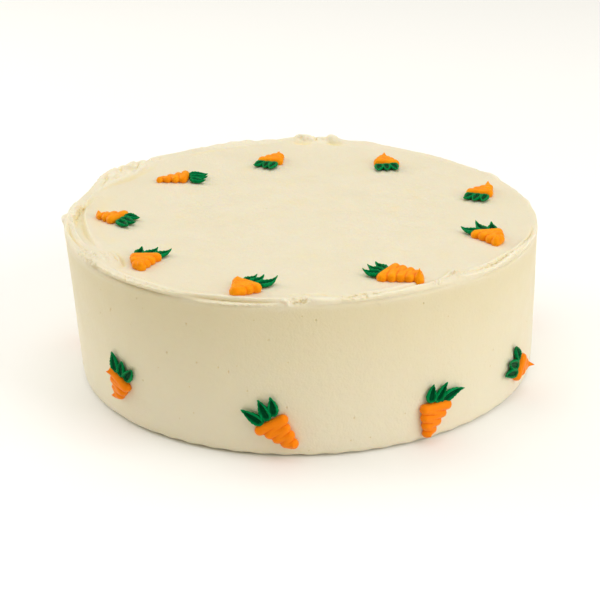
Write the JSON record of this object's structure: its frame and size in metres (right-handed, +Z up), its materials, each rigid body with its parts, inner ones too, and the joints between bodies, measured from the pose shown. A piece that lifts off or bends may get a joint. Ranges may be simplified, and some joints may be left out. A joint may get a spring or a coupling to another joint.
{
  "type": "carrot cake",
  "caption": "Round double-layer cake under smooth cream icing, with small carrots piped round its top and round the foot of its wall.",
  "frame": {"origin": "middle of the underside of the whole cake's bounding box, on the surface it stands on", "axes": "+Z up, the front towards -Y, +X to the right seen from the front"},
  "size_m": [0.2218, 0.221, 0.0802],
  "materials": {
    "cream_icing": "smooth cream-cheese icing, pale ivory, satin, with faint spatula marks and small air pits",
    "orange_icing": "piped orange icing, softly glossy",
    "green_icing": "piped dark green icing, softly glossy, finely ribbed"
  },
  "bodies": {
    "root": {"frosted_cake": "cream_icing", "carrot_root_top_1": "orange_icing", "carrot_leaves_top_1": "green_icing", "carrot_root_top_2": "orange_icing", "carrot_leaves_top_2": "green_icing", "carrot_root_top_3": "orange_icing", "carrot_leaves_top_3": "green_icing", "carrot_root_top_4": "orange_icing", "carrot_leaves_top_4": "green_icing", "carrot_root_top_5": "orange_icing", "carrot_leaves_top_5": "green_icing", "carrot_root_top_6": "orange_icing", "carrot_leaves_top_6": "green_icing", "carrot_root_top_7": "orange_icing", "carrot_leaves_top_7": "green_icing", "carrot_root_top_8": "orange_icing", "carrot_leaves_top_8": "green_icing", "carrot_root_top_9": "orange_icing", "carrot_leaves_top_9": "green_icing", "carrot_root_wall_1": "orange_icing", "carrot_leaves_wall_1": "green_icing", "carrot_root_wall_2": "orange_icing", "carrot_leaves_wall_2": "green_icing", "carrot_root_wall_3": "orange_icing", "carrot_leaves_wall_3": "green_icing", "carrot_root_wall_4": "orange_icing", "carrot_leaves_wall_4": "green_icing", "carrot_root_wall_5": "orange_icing", "carrot_leaves_wall_5": "green_icing", "carrot_root_wall_6": "orange_icing", "carrot_leaves_wall_6": "green_icing", "carrot_root_wall_7": "orange_icing", "carrot_leaves_wall_7": "green_icing", "carrot_root_wall_8": "orange_icing", "carrot_leaves_wall_8": "green_icing", "carrot_root_wall_9": "orange_icing", "carrot_leaves_wall_9": "green_icing"}
  },
  "joints": []
}
